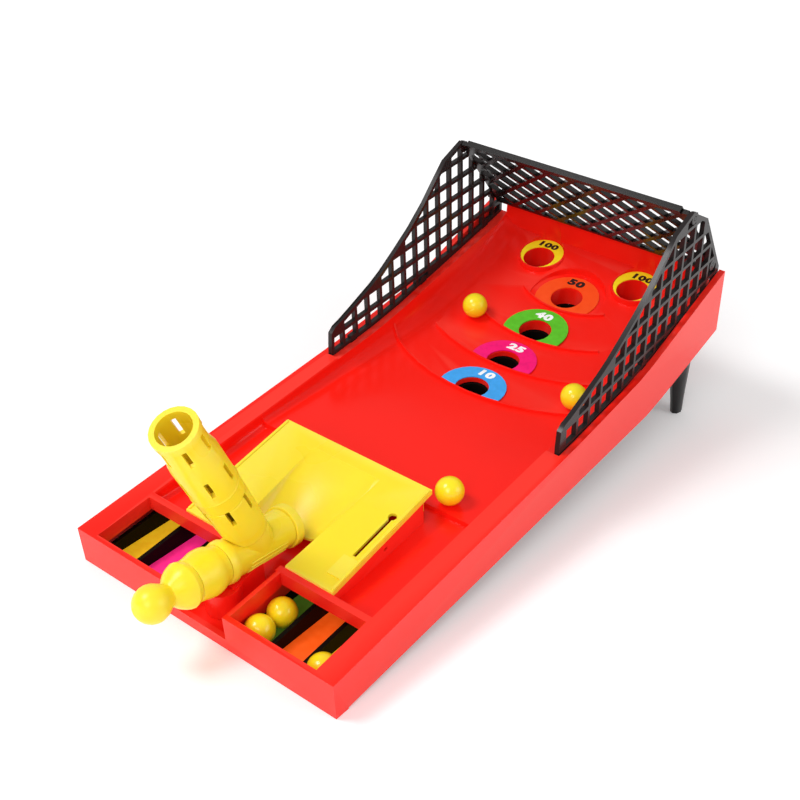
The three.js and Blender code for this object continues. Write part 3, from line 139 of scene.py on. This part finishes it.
def moulded_plastic(name, colour, edge_highlight, roughness, specular, glow=0.0, coat=0.0):
    """A moulded plastic finish: its own gloss and glow, with the shared moulding marks and a painted
    highlight on its edges.
    """
    material = bpy.data.materials.new(name)
    material.use_nodes = True
    nodes, links = material.node_tree.nodes, material.node_tree.links
    shader = nodes["Principled BSDF"]
    shader.inputs["Specular IOR Level"].default_value = specular
    shader.inputs["Subsurface Weight"].default_value = glow
    shader.inputs["Subsurface Radius"].default_value = GLOW_RADIUS
    shader.inputs["Coat Weight"].default_value = coat
    shader.inputs["Coat Roughness"].default_value = COAT_ROUGHNESS
    mark = nodes.new("ShaderNodeGroup")
    mark.node_tree = marks
    mark.inputs["Colour"].default_value = (*colour, 1)
    mark.inputs["Edge Highlight Colour"].default_value = (*edge_highlight, 1)
    mark.inputs["Roughness"].default_value = roughness
    mark.inputs["Mark Depth"].default_value = MARK_DEPTH
    bump = nodes.new("ShaderNodeBump")
    bump.inputs["Strength"].default_value = PIT_STRENGTH
    bump.inputs["Distance"].default_value = PIT_HEIGHT
    links.new(mark.outputs["Height"], bump.inputs["Height"])
    links.new(mark.outputs["Colour"], shader.inputs["Base Color"])
    links.new(mark.outputs["Roughness"], shader.inputs["Roughness"])
    links.new(bump.outputs["Normal"], shader.inputs["Normal"])
    return material


def moulded_piece(node, body, material, edge, smooth=35, steps=2):
    """A copy of a rigid CAD piece with rounded moulded edges, which stands for that piece.

    The bevel is clamped by the shortest edge of the mesh, so on the deck, the lower tray, the nets
    and the ramp plate it comes out far narrower than edge says, and their edges stay nearly sharp.
    """
    bpy.ops.object.select_all(action="DESELECT")
    piece = bpy.data.objects.new(f"{node}_moulded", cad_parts[node].data.copy())
    bpy.context.scene.collection.objects.link(piece)
    bpy.context.view_layer.objects.active = piece
    piece.select_set(True)
    bpy.ops.object.mode_set(mode="EDIT")
    bpy.ops.mesh.select_all(action="SELECT")
    bpy.ops.mesh.remove_doubles(threshold=MERGE_DISTANCE)
    bpy.ops.mesh.dissolve_limited(angle_limit=math.radians(FLAT_ANGLE))
    bpy.ops.object.mode_set(mode="OBJECT")
    bevel = piece.modifiers.new("edges", "BEVEL")
    bevel.width = edge
    bevel.segments = steps
    bevel.limit_method = "ANGLE"
    bevel.angle_limit = math.radians(smooth)
    bpy.ops.object.modifier_apply(modifier="edges")
    bpy.ops.object.shade_smooth_by_angle(angle=math.radians(smooth + SMOOTH_MARGIN))
    even = piece.modifiers.new("even", "WEIGHTED_NORMAL")
    even.keep_sharp = True
    bpy.ops.object.modifier_apply(modifier="even")
    piece.data.materials.clear()
    piece.data.materials.append(material)
    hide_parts(node)
    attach(piece, body)


# The lighter edge colour here is a painted highlight.
red = moulded_plastic("red_plastic", colour=(1.0, 0.013, 0.006), edge_highlight=(1.0, 0.035, 0.022),
                      roughness=0.2, specular=0.24)
moulded_piece("deck_shell", "base", red, DECK_EDGE)

# Lower tray
# A black moulded tray under the deck. Its walls make the lanes that bring the balls back to the
# wells in front, and screws hold it to the bosses of the deck.
LOWER_TRAY_EDGE = 0.0003
# The lighter edge colour here is a painted highlight.
black = moulded_plastic("black_plastic", colour=(0.006, 0.004, 0.003), edge_highlight=(0.008, 0.006, 0.005),
                        roughness=0.45, specular=0.05)
moulded_piece("lower_tray", "base", black, LOWER_TRAY_EDGE)

# Lane strips
# Each lane has a coloured paper strip with a satin film at its front end, glued on its floor,
# which shows the score of the balls that stop there.
INK_SCALE = 260
INK_MOTTLE = (0.3, 0.7)
THIN_INK = 0.9
FULL_INK = 1.05
INK_BODY = 0.004
FILM_SPREAD = (-0.06, 0.08)
FILM_ROUGHNESS = 0.42
FILM_SPECULAR = 0.4


def printed_ink():
    """A soft mottle between two tones of ink, and an uneven satin film over a given roughness."""
    group = bpy.data.node_groups.new("printed_ink", "ShaderNodeTree")
    face = group.interface
    face.new_socket("Thin Ink", in_out="INPUT", socket_type="NodeSocketColor")
    face.new_socket("Full Ink", in_out="INPUT", socket_type="NodeSocketColor")
    face.new_socket("Roughness", in_out="INPUT", socket_type="NodeSocketFloat")
    face.new_socket("Colour", in_out="OUTPUT", socket_type="NodeSocketColor")
    face.new_socket("Roughness", in_out="OUTPUT", socket_type="NodeSocketFloat")
    nodes, links = group.nodes, group.links
    entry = nodes.new("NodeGroupInput")
    leave = nodes.new("NodeGroupOutput")
    place = nodes.new("ShaderNodeTexCoord")
    ink = nodes.new("ShaderNodeTexNoise")
    ink.inputs["Scale"].default_value = INK_SCALE
    ink.inputs["Detail"].default_value = 5
    links.new(place.outputs["Object"], ink.inputs["Vector"])

    mottle = nodes.new("ShaderNodeMapRange")
    mottle.inputs["From Min"].default_value, mottle.inputs["From Max"].default_value = INK_MOTTLE
    tone = nodes.new("ShaderNodeMix")
    tone.data_type = "RGBA"
    links.new(ink.outputs["Fac"], mottle.inputs["Value"])
    links.new(mottle.outputs["Result"], tone.inputs["Factor"])
    links.new(entry.outputs["Thin Ink"], tone.inputs["A"])
    links.new(entry.outputs["Full Ink"], tone.inputs["B"])
    links.new(tone.outputs["Result"], leave.inputs["Colour"])

    film = nodes.new("ShaderNodeMapRange")
    film.inputs["To Min"].default_value, film.inputs["To Max"].default_value = FILM_SPREAD
    rough = nodes.new("ShaderNodeMath")
    rough.operation = "ADD"
    links.new(ink.outputs["Fac"], film.inputs["Value"])
    links.new(entry.outputs["Roughness"], rough.inputs[0])
    links.new(film.outputs["Result"], rough.inputs[1])
    links.new(rough.outputs["Value"], leave.inputs["Roughness"])
    return group


ink_layer = printed_ink()


def sticker(name, colour, glow=0.0):
    """Printed paper under a satin film. Its glow is a painted glow, an emission that lightens the
    ink.
    """
    material = bpy.data.materials.new(name)
    material.use_nodes = True
    nodes, links = material.node_tree.nodes, material.node_tree.links
    shader = nodes["Principled BSDF"]
    shader.inputs["Specular IOR Level"].default_value = FILM_SPECULAR
    shader.inputs["Emission Strength"].default_value = glow
    layer = nodes.new("ShaderNodeGroup")
    layer.node_tree = ink_layer
    layer.inputs["Thin Ink"].default_value = (*[c * THIN_INK for c in colour], 1)
    layer.inputs["Full Ink"].default_value = (*[min(1, c * FULL_INK + INK_BODY) for c in colour], 1)
    layer.inputs["Roughness"].default_value = FILM_ROUGHNESS
    links.new(layer.outputs["Colour"], shader.inputs["Base Color"])
    links.new(layer.outputs["Colour"], shader.inputs["Emission Color"])
    links.new(layer.outputs["Roughness"], shader.inputs["Roughness"])
    return material


# The strips lie in the shaded wells and get a painted glow, an emission that lightens them.
STRIP_PAINTED_GLOW = 0.4
strip_colours = {
    "yellow_left": (0.98, 0.58, 0.014),
    "pink": (0.95, 0.02, 0.24),
    "blue": (0.05, 0.36, 0.84),
    "green": (0.06, 0.13, 0.008),
    "orange": (1.0, 0.11, 0.005),
    "yellow_right": (0.97, 0.62, 0.01),
}
for lane, colour in strip_colours.items():
    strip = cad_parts[f"lane_strip_{lane}"]
    strip.data.materials.clear()
    strip.data.materials.append(sticker(f"{lane}_strip", colour, STRIP_PAINTED_GLOW))

# Score rings and their numbers
# A coloured ring of printed paper is glued round each hole, cut off in front by the raised lip.
# Its score is printed in heavy, wide figures, white on the lower three rings and black on the
# upper three.
NUMBER_LIFT = 0.00004
NUMBER_DEPTH = 0.00005
NUMBER_SLANT = 0.06
NUMBER_SPACING = 1.12
NUMBER_WEIGHT = 0.08
FONT_SIZE = 1.38
CURVE_STEPS = 6
PROBE_HEIGHT = 0.05
# The coloured and white inks get a weaker painted glow, an emission that lightens them.
RING_PAINTED_GLOW = 0.1
white_ink = sticker("white_ink", (0.95, 0.95, 0.95), RING_PAINTED_GLOW)
black_ink = sticker("black_ink", (0.008, 0.008, 0.008))
blue_ink = sticker("blue_ink", (0.045, 0.36, 0.84), RING_PAINTED_GLOW)
pink_ink = sticker("pink_ink", (0.92, 0.0, 0.17), RING_PAINTED_GLOW)
green_ink = sticker("green_ink", (0.10, 0.52, 0.015), RING_PAINTED_GLOW)
orange_ink = sticker("orange_ink", (1.0, 0.075, 0.003), RING_PAINTED_GLOW)
yellow_ink = sticker("yellow_ink", (0.98, 0.76, 0.01), RING_PAINTED_GLOW)


def score_number(name, text, ring, x, y, height, width_share, ink):
    """A printed score: flat figures laid on the ring under the point (x, y) of the tray."""
    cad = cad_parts[ring]
    down = tray.to_3x3() @ Vector((0, 0, -1))
    start = tray @ Vector((x, y, PROBE_HEIGHT))
    hit, spot, normal, _ = cad.ray_cast(start, down)
    if not hit:
        print("no ring under", name)
        spot, normal = start, -down
    bpy.ops.object.select_all(action="DESELECT")
    bpy.ops.object.text_add()
    figure = bpy.context.object
    figure.name = name
    figure.data.body = text
    figure.data.align_x = "CENTER"
    figure.data.align_y = "CENTER"
    figure.data.size = height * FONT_SIZE
    figure.data.shear = NUMBER_SLANT
    figure.data.space_character = NUMBER_SPACING
    figure.data.offset = height * NUMBER_WEIGHT
    figure.data.extrude = NUMBER_DEPTH / 2
    figure.data.resolution_u = CURVE_STEPS
    bpy.ops.object.convert(target="MESH")
    figure = bpy.context.object
    across = (tray.to_3x3() @ Vector((1, 0, 0))).normalized()
    along = normal.cross(across).normalized()
    across = along.cross(normal).normalized()
    turn = Matrix((across, along, normal)).transposed().to_4x4()
    stretch = Matrix.Diagonal((width_share, 1, 1, 1))
    lift = Matrix.Translation(spot + normal * (NUMBER_LIFT + NUMBER_DEPTH / 2))
    figure.data.transform(lift @ turn @ stretch)
    figure.data.materials.append(ink)
    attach(figure, "base")


# ring, text, across, along, height, width share, ring's ink, number's ink
rings = (
    ("score_ring_10", "10", -0.0005, 0.2534, 0.0058, 1.35, blue_ink, white_ink),
    ("score_ring_25", "25", -0.0002, 0.2872, 0.0058, 1.35, pink_ink, white_ink),
    ("score_ring_40", "40", -0.0025, 0.3236, 0.0058, 1.35, green_ink, white_ink),
    ("score_ring_50", "50", -0.0023, 0.3630, 0.0058, 1.35, orange_ink, black_ink),
    ("score_ring_left_100", "100", -0.0378, 0.3829, 0.0048, 1.4, yellow_ink, black_ink),
    ("score_ring_right_100", "100", 0.0366, 0.3824, 0.0048, 1.4, yellow_ink, black_ink),
)
for ring, text, x, y, height, width_share, ring_ink, number_ink in rings:
    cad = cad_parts[ring]
    cad.data.materials.clear()
    cad.data.materials.append(ring_ink)
    name = ring.replace("score_ring", "number")
    score_number(name, text, ring, x, y, height, width_share, number_ink)

# Nets
# Three stiff black plastic lattices, each moulded flat. The side nets stand in the ledges of the
# rim on tabs, and the back net is pegged between them under its thick top rail.
NET_EDGE = 0.00035
NET_SMOOTH = 40
# The lighter edge colour here is a painted highlight.
net_black = moulded_plastic("net_plastic", colour=(0.004, 0.003, 0.0025), edge_highlight=(0.02, 0.016, 0.016),
                            roughness=0.24, specular=0.24)
for net in ("net_left", "net_right", "net_back"):
    moulded_piece(net, "base", net_black, NET_EDGE, smooth=NET_SMOOTH)

# Legs
# Two tapering black plastic legs with flat tips hold the rear of the tray up. Each has a tenon
# that is pushed into the hollow rim of the red tray, where friction holds it.
LEG_EDGE = 0.0008
LEG_SMOOTH = 48
LEG_STEPS = 3
# The lighter edge colour here is a painted highlight.
leg_black = moulded_plastic("leg_plastic", colour=(0.005, 0.004, 0.004), edge_highlight=(0.02, 0.02, 0.02),
                            roughness=0.33, specular=0.2)
for leg in ("leg_left", "leg_right"):
    moulded_piece(leg, "base", leg_black, LEG_EDGE, smooth=LEG_SMOOTH, steps=LEG_STEPS)

# Ramp plate
# The yellow plastic wedge in front of the launcher leads the shot up to the field. It lies on the
# red walls of the deck. It has a scoop ahead of the nose, a keyhole slot, a raised pad and two
# moulded border ridges along its sides.
PLATE_EDGE = 0.0004
RIDGE_STEPS = 3
RIDGE_SMOOTH = 40
# The lighter edge colour here is a painted highlight.
yellow = moulded_plastic("yellow_plastic", colour=(0.99, 0.74, 0.025), edge_highlight=(1.0, 0.88, 0.18),
                         roughness=0.27, specular=0.35, glow=0.55)
moulded_piece("ramp_plate", "base", yellow, PLATE_EDGE)


def moulded_ridge(name, body, size, place, edge, material):
    """A long moulded ridge with rounded edges. The matrix place lays its middle on the part."""
    bpy.ops.object.select_all(action="DESELECT")
    bpy.ops.mesh.primitive_cube_add(size=1)
    ridge = bpy.context.object
    ridge.name = name
    ridge.scale = size
    bpy.ops.object.transform_apply(location=False, rotation=False, scale=True)
    rounded = ridge.modifiers.new("edges", "BEVEL")
    rounded.width = edge
    rounded.segments = RIDGE_STEPS
    bpy.ops.object.modifier_apply(modifier="edges")
    bpy.ops.object.shade_smooth_by_angle(angle=math.radians(RIDGE_SMOOTH))
    ridge.data.transform(place)
    ridge.data.materials.append(material)
    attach(ridge, body)


PLATE_SLOPE = 0.0996
BORDER_SIZE = (0.0016, 0.0815, 0.0018)
BORDER_X = 0.0509
BORDER_MIDDLE = (0.0857, 0.00575)
BORDER_EDGE = 0.0004
for side, side_name in ((-1, "left"), (1, "right")):
    laid = tray @ Matrix.Translation((side * BORDER_X, *BORDER_MIDDLE)) @ Matrix.Rotation(
        math.atan(PLATE_SLOPE), 4, "X")
    moulded_ridge(f"plate_border_{side_name}", "base", BORDER_SIZE, laid, BORDER_EDGE, yellow)

# Launcher
# A yellow plastic barrel with an end cap behind, a nose ring in front and ribs along its right
# side. The magazine tube is pushed on its branch and leans towards the player. The barrel is
# screwed to a red turret that turns in the launcher channel.
TURNED_SMOOTH = 30
launcher_edges = {"launcher_barrel": 0.0005, "launcher_end_cap": 0.0006, "nose_ring": 0.0004,
                  "magazine_tube": 0.0005}
for part, edge in launcher_edges.items():
    moulded_piece(part, "launcher", yellow, edge, smooth=TURNED_SMOOTH)
CRADLE_EDGE = 0.0005
moulded_piece("launcher_cradle", "launcher", red, CRADLE_EDGE)

BARREL_PLACE = (0, 0.025, 0.00986)
BARREL_PITCH = -11.75
RIB_SIZE = (0.0012, 0.027, 0.0007)
RIB_EDGE = 0.0003
RIB_RADIUS = 0.0106
RIB_MIDDLE = 0.0195
RIB_TURNS = (2, 17, 32, 47)
barrel = tray @ Matrix.Translation(BARREL_PLACE) @ Matrix.Rotation(math.radians(BARREL_PITCH), 4, "X")
for index, turn in enumerate(RIB_TURNS, 1):
    out = Matrix.Translation((RIB_RADIUS, RIB_MIDDLE, 0))
    laid = barrel @ Matrix.Rotation(math.radians(turn), 4, "Y") @ out
    moulded_ridge(f"barrel_rib_{index}", "launcher", RIB_SIZE, laid, RIB_EDGE, yellow)

# Plunger
# The knob, its bell and its rod are one round yellow moulding. The piston is pushed on the rod's
# end and drives the ball, and a coiled steel spring sits round the rod.
PLUNGER_EDGE = 0.0004
for part in ("plunger_handle", "plunger_piston"):
    moulded_piece(part, "plunger", yellow, PLUNGER_EDGE, smooth=TURNED_SMOOTH)

# Steel spring, washer and screws
# The spring is bright steel wire and sits inside the barrel. The plated screws hold the lower
# tray, the turret and the barrel. Those of the tray and the turret show only from below.
STEEL_TONES = ((0.42, 0.42, 0.44, 1), (0.68, 0.68, 0.70, 1))
STEEL_ROUGHNESS = (0.25, 0.45)
CLOUD_SCALE = 500
SCREW_EDGE = 0.0002
SCREW_SMOOTH = 50
WIRE_SMOOTH = 75


def plated_steel():
    """Zinc-plated steel with a slight cloudiness in its colour and its gloss."""
    material = bpy.data.materials.new("plated_steel")
    material.use_nodes = True
    nodes, links = material.node_tree.nodes, material.node_tree.links
    shader = nodes["Principled BSDF"]
    shader.inputs["Metallic"].default_value = 1.0
    place = nodes.new("ShaderNodeTexCoord")
    cloud = nodes.new("ShaderNodeTexNoise")
    cloud.inputs["Scale"].default_value = CLOUD_SCALE
    cloud.inputs["Detail"].default_value = 6
    links.new(place.outputs["Object"], cloud.inputs["Vector"])
    tone = nodes.new("ShaderNodeValToRGB")
    for stop, steel_colour in zip(tone.color_ramp.elements, STEEL_TONES):
        stop.color = steel_colour
    links.new(cloud.outputs["Fac"], tone.inputs["Fac"])
    links.new(tone.outputs["Color"], shader.inputs["Base Color"])
    rough = nodes.new("ShaderNodeMapRange")
    rough.inputs["To Min"].default_value, rough.inputs["To Max"].default_value = STEEL_ROUGHNESS
    links.new(cloud.outputs["Fac"], rough.inputs["Value"])
    links.new(rough.outputs["Result"], shader.inputs["Roughness"])
    return material


steel = plated_steel()
fasteners = {"pivot_washer": "launcher", "pivot_screw": "launcher", "cradle_screw": "launcher"}
fasteners.update({f"tray_screw_{index}": "base" for index in range(1, 6)})
for fastener, body in fasteners.items():
    moulded_piece(fastener, body, steel, SCREW_EDGE, smooth=SCREW_SMOOTH)

spring_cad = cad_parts["plunger_spring"]
spring = bpy.data.objects.new("plunger_spring_wire", spring_cad.data.copy())
bpy.context.scene.collection.objects.link(spring)
bpy.ops.object.select_all(action="DESELECT")
bpy.context.view_layer.objects.active = spring
spring.select_set(True)
bpy.ops.object.mode_set(mode="EDIT")
bpy.ops.mesh.select_all(action="SELECT")
bpy.ops.mesh.remove_doubles(threshold=MERGE_DISTANCE)
bpy.ops.object.mode_set(mode="OBJECT")
bpy.ops.object.shade_smooth_by_angle(angle=math.radians(WIRE_SMOOTH))
spring.data.materials.clear()
spring.data.materials.append(steel)
low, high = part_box("plunger_spring")
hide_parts("plunger_spring")
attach(spring, "launcher")
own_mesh(spring)

# Balls
# Six loose yellow plastic balls with a deep gloss, moulded in two halves. A fine parting line
# runs round each one, turned its own way.
BALL_SEGMENTS = 64
BALL_RINGS = 32
EQUATOR = 0.001
PARTING_WIDTH = 0.012
PARTING_RADIUS = 0.992
# The lighter edge colour here is a painted highlight.
ball_yellow = moulded_plastic("ball_plastic", colour=(0.98, 0.77, 0.012), edge_highlight=(1.0, 0.88, 0.08),
                              roughness=0.2, specular=0.4, glow=0.2, coat=0.25)
# how each ball's parting line is turned, in degrees
ball_turns = ((70, 20, 0), (25, 60, 0), (100, -35, 0), (50, 10, 0), (15, -50, 0), (80, 45, 0))
for index, turn in enumerate(ball_turns, 1):
    node = f"ball_{index}"
    low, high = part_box(node)
    centre = (low + high) / 2
    radius = max(high - low) / 2
    bpy.ops.object.select_all(action="DESELECT")
    bpy.ops.mesh.primitive_uv_sphere_add(segments=BALL_SEGMENTS, ring_count=BALL_RINGS, radius=radius,
                                         location=centre)
    ball = bpy.context.object
    ball.name = f"{node}_moulded"
    bpy.ops.object.mode_set(mode="EDIT")
    bpy.ops.mesh.select_all(action="DESELECT")
    bpy.ops.object.mode_set(mode="OBJECT")
    for edge in ball.data.edges:
        ends = [ball.data.vertices[v].co for v in edge.vertices]
        edge.select = all(abs(end.z) < radius * EQUATOR for end in ends)
    bpy.ops.object.mode_set(mode="EDIT")
    bpy.ops.mesh.select_mode(type="EDGE")
    bpy.ops.mesh.bevel(offset=radius * PARTING_WIDTH, segments=2, affect="EDGES")
    bpy.ops.object.mode_set(mode="OBJECT")
    for vertex in ball.data.vertices:
        vertex.select = abs(vertex.co.z) < radius * EQUATOR
    bpy.ops.object.mode_set(mode="EDIT")
    bpy.ops.mesh.select_mode(type="VERT")
    bpy.ops.transform.resize(value=(PARTING_RADIUS, PARTING_RADIUS, 1), center_override=centre)
    bpy.ops.object.mode_set(mode="OBJECT")
    bpy.ops.object.shade_smooth()
    ball.rotation_euler = [math.radians(a) for a in turn]
    bpy.ops.object.transform_apply(location=True, rotation=True, scale=True)
    ball.data.materials.append(ball_yellow)
    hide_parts(node)
    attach(ball, node)

# Floor, light and camera
# A plain white paper floor with large soft lamps, seen from above the front right corner. The
# paper is brighter away from the part, so that only the shadow shows on it.
FLOOR_SIZE = 12
FLOOR_DROP = 0.0002
FLOOR_FADE = (0.3, 1.1)
FLOOR_GLOW = (0.16, 0.62)
PAPER_SCALE = 2
PAPER_TONES = ((0.94, 0.94, 0.94, 1), (0.97, 0.97, 0.97, 1))
SKY_STRENGTH = 0.45
floor_material = bpy.data.materials.new("studio_floor")
floor_material.use_nodes = True
floor_nodes, floor_links = floor_material.node_tree.nodes, floor_material.node_tree.links
floor_shader = floor_nodes["Principled BSDF"]
floor_shader.inputs["Roughness"].default_value = 0.9
floor_shader.inputs["Specular IOR Level"].default_value = 0.1
floor_shader.inputs["Emission Color"].default_value = (1, 1, 1, 1)
paper_place = floor_nodes.new("ShaderNodeTexCoord")
paper = floor_nodes.new("ShaderNodeTexNoise")
paper.inputs["Scale"].default_value = PAPER_SCALE
floor_links.new(paper_place.outputs["Object"], paper.inputs["Vector"])
paper_tone = floor_nodes.new("ShaderNodeValToRGB")
for stop, paper_colour in zip(paper_tone.color_ramp.elements, PAPER_TONES):
    stop.color = paper_colour
floor_links.new(paper.outputs["Fac"], paper_tone.inputs["Fac"])
floor_links.new(paper_tone.outputs["Color"], floor_shader.inputs["Base Color"])
distance = floor_nodes.new("ShaderNodeVectorMath")
distance.operation = "LENGTH"
floor_links.new(paper_place.outputs["Object"], distance.inputs[0])
fade = floor_nodes.new("ShaderNodeMapRange")
fade.inputs["From Min"].default_value, fade.inputs["From Max"].default_value = FLOOR_FADE
fade.inputs["To Min"].default_value, fade.inputs["To Max"].default_value = FLOOR_GLOW
floor_links.new(distance.outputs["Value"], fade.inputs["Value"])
floor_links.new(fade.outputs["Result"], floor_shader.inputs["Emission Strength"])
bpy.ops.object.select_all(action="DESELECT")
bpy.ops.mesh.primitive_plane_add(size=FLOOR_SIZE, location=(0, 0, -FLOOR_DROP))
floor = bpy.context.object
floor.name = "studio_floor"
floor.data.materials.append(floor_material)

world = bpy.data.worlds.new("studio")
bpy.context.scene.world = world
world.use_nodes = True
sky_nodes, sky_links = world.node_tree.nodes, world.node_tree.links
sky = sky_nodes["Background"]
sky.inputs["Color"].default_value = (1, 1, 1, 1)
rays = sky_nodes.new("ShaderNodeLightPath")
strength = sky_nodes.new("ShaderNodeMix")
strength.inputs["A"].default_value = SKY_STRENGTH
strength.inputs["B"].default_value = 1
sky_links.new(rays.outputs["Is Camera Ray"], strength.inputs["Factor"])
sky_links.new(strength.outputs["Result"], sky.inputs["Strength"])


def soft_lamp(name, place, target, size, power):
    """A square soft box that points at one place."""
    bpy.ops.object.light_add(type="AREA", location=place)
    lamp = bpy.context.object
    lamp.name = name
    lamp.data.shape = "SQUARE"
    lamp.data.size = size
    lamp.data.energy = power
    lamp.rotation_euler = (Vector(target) - Vector(place)).to_track_quat("-Z", "Y").to_euler()


soft_lamp("key_lamp", place=(-0.7, -0.8, 1.5), target=(0, 0, 0.05), size=0.6, power=15)
soft_lamp("front_lamp", place=(0.4, -1.5, 1.1), target=(0, 0.05, 0.05), size=0.9, power=10)
soft_lamp("right_lamp", place=(1.4, 0.4, 0.7), target=(0, 0.05, 0.03), size=0.9, power=5)

CAMERA_PLACE = (0.353933, -0.498622, 0.437033)
CAMERA_RIGHT = (0.787917, 0.613764, 0.049804)
CAMERA_UP = (-0.356023, 0.388062, 0.850092)
CAMERA_BACK = (0.502429, -0.687533, 0.524274)
CAMERA_LENS = 55.608
CAMERA_SENSOR = 36
bpy.ops.object.camera_add()
camera = bpy.context.object
camera_turn = Matrix((CAMERA_RIGHT, CAMERA_UP, CAMERA_BACK)).transposed().to_4x4()
camera.matrix_world = Matrix.Translation(CAMERA_PLACE) @ camera_turn
camera.data.lens = CAMERA_LENS
camera.data.sensor_width = CAMERA_SENSOR
bpy.context.scene.camera = camera
bpy.context.scene.view_settings.view_transform = "Standard"
